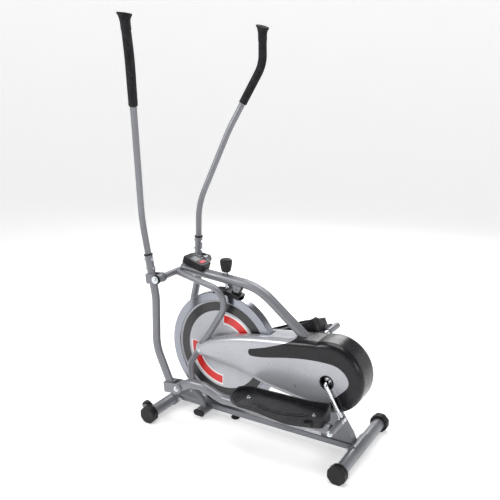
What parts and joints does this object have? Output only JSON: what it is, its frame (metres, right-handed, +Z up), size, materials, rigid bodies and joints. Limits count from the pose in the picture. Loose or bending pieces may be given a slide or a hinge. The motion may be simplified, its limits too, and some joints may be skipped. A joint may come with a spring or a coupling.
{
  "type": "elliptical trainer",
  "caption": "Compact magnetic elliptical trainer: swinging handlebars on a cross tube, flywheel in a bent-tube frame, enclosed belt drive, crank and foot pedals.",
  "frame": {"origin": "on the floor, under the middle of the rubber foot of the base tube, in the centre plane", "axes": "+X towards the rear stabilizer, +Y to the user's right as they face the monitor, +Z up"},
  "size_m": [0.9388, 0.6526, 1.6088],
  "materials": {
    "frame_paint": "satin metallic grey powder coat",
    "chrome": "polished chrome",
    "zinc_steel": "bright zinc plate",
    "bearing_steel": "ground",
    "rim_iron": "polished and lacquered flywheel rim",
    "web_plastic": "silver disc with a black ring and red flashes",
    "black_plastic": "fine grained moulding",
    "silver_plastic": "metallic silver",
    "gloss_black_plastic": "satin gloss",
    "foam": "closed-cell foam, fine pores",
    "rubber": "matt",
    "magnet_steel": "nickel plate",
    "display": "grey display window",
    "red_plastic": "gloss"
  },
  "bodies": {
    "frame": {"front_stabilizer": "frame_paint", "rear_stabilizer": "frame_paint", "base_tube": "frame_paint", "foot_tube": "frame_paint", "cross_tube": "frame_paint", "main_tube": "frame_paint", "left_brace": "frame_paint", "right_brace": "frame_paint", "rear_post": "frame_paint", "stabilizer_bolts": "zinc_steel", "stabilizer_nuts": "zinc_steel", "arm_end_bolts": "zinc_steel", "flywheel_axle": "zinc_steel", "cover_screws": "zinc_steel", "crank_bearings": "bearing_steel", "stabilizer_end_caps": "black_plastic", "foot_tube_caps": "black_plastic", "monitor_case": "black_plastic", "left_cover": "silver_plastic", "right_cover": "silver_plastic", "left_rear_cover": "gloss_black_plastic", "right_rear_cover": "gloss_black_plastic", "rubber_foot": "rubber", "drive_belt": "rubber", "monitor_screen": "display"},
    "flywheel": {"flywheel_rim": "rim_iron", "flywheel_web": "web_plastic", "flywheel_pulley": "black_plastic", "flywheel_bearings": "bearing_steel"},
    "crank_set": {"crank": "chrome", "crank_pulley": "black_plastic"},
    "left_arm": {"left_lower_arm": "frame_paint", "left_handlebar": "frame_paint", "left_grip": "foam", "left_grip_end": "foam", "left_sleeve_ring": "black_plastic", "left_arm_bushes": "black_plastic", "left_arm_bolts": "zinc_steel"},
    "right_arm": {"right_lower_arm": "frame_paint", "right_handlebar": "frame_paint", "right_grip": "foam", "right_grip_end": "foam", "right_sleeve_ring": "black_plastic", "right_arm_bushes": "black_plastic", "right_arm_bolts": "zinc_steel"},
    "left_foot": {"left_pedal_tube": "frame_paint", "left_pedal": "black_plastic", "left_crank_pin": "zinc_steel", "left_pedal_screws": "zinc_steel"},
    "right_foot": {"right_pedal_tube": "frame_paint", "right_pedal": "black_plastic", "right_crank_pin": "zinc_steel", "right_pedal_screws": "zinc_steel"},
    "tension_knob": {"tension_knob": "black_plastic", "tension_stem": "zinc_steel"},
    "brake": {"magnet_bracket": "black_plastic", "brake_magnets": "magnet_steel"},
    "monitor_button": {"monitor_button": "red_plastic"},
    "left_wheel": {"left_transport_wheel": "black_plastic"},
    "right_wheel": {"right_transport_wheel": "black_plastic"}
  },
  "joints": [
    {"name": "flywheel_spin", "type": "hinge", "parent": "frame", "child": "flywheel", "pos_m": [-0.05, 0, 0.302], "axis": [0, 1, 0], "continuous": true},
    {"name": "crank_spin", "type": "hinge", "parent": "frame", "child": "crank_set", "pos_m": [0.438, 0, 0.298], "axis": [0, 1, 0], "continuous": true},
    {"name": "left_arm_swing", "type": "hinge", "parent": "frame", "child": "left_arm", "pos_m": [-0.252, -0.16, 0.617], "axis": [0, 1, 0], "range_deg": [-10.5, 22]},
    {"name": "right_arm_swing", "type": "hinge", "parent": "frame", "child": "right_arm", "pos_m": [-0.252, 0.16, 0.617], "axis": [0, 1, 0], "range_deg": [-22.4, 12]},
    {"name": "left_foot_tilt", "type": "hinge", "parent": "left_arm", "child": "left_foot", "pos_m": [-0.16604, -0.16, 0.16947], "axis": [0, 1, 0], "range_deg": [-24, 12]},
    {"name": "right_foot_tilt", "type": "hinge", "parent": "right_arm", "child": "right_foot", "pos_m": [-0.25938, 0.16, 0.16134], "axis": [0, 1, 0], "range_deg": [-12, 24]},
    {"name": "knob_turn", "type": "hinge", "parent": "frame", "child": "tension_knob", "pos_m": [-0.04, 0, 0.65], "axis": [0, 0, 1], "range_deg": [-360, 360]},
    {"name": "brake_tilt", "type": "hinge", "parent": "frame", "child": "brake", "pos_m": [0.015, 0, 0.573], "axis": [0, 1, 0], "range_deg": [-1.4, 1.4]},
    {"name": "monitor_button_press", "type": "slide", "parent": "frame", "child": "monitor_button", "axis": [-0.2924, 0, -0.9563], "range_m": [0, 0.0015], "stiffness_N_per_m": 600},
    {"name": "left_wheel_spin", "type": "hinge", "parent": "frame", "child": "left_wheel", "pos_m": [-0.329, -0.178, 0.053], "axis": [0, 1, 0], "continuous": true},
    {"name": "right_wheel_spin", "type": "hinge", "parent": "frame", "child": "right_wheel", "pos_m": [-0.329, 0.178, 0.053], "axis": [0, 1, 0], "continuous": true}
  ],
  "couplings": [
    {"joint": "crank_spin", "follows": "flywheel_spin", "ratio": 0.27856},
    {"joint": "right_arm_swing", "follows": "left_arm_swing", "ratio": -1},
    {"joint": "left_foot_tilt", "follows": "left_arm_swing", "ratio": -1},
    {"joint": "right_foot_tilt", "follows": "left_arm_swing", "ratio": 1},
    {"joint": "brake_tilt", "follows": "knob_turn", "ratio": 0.003618}
  ]
}
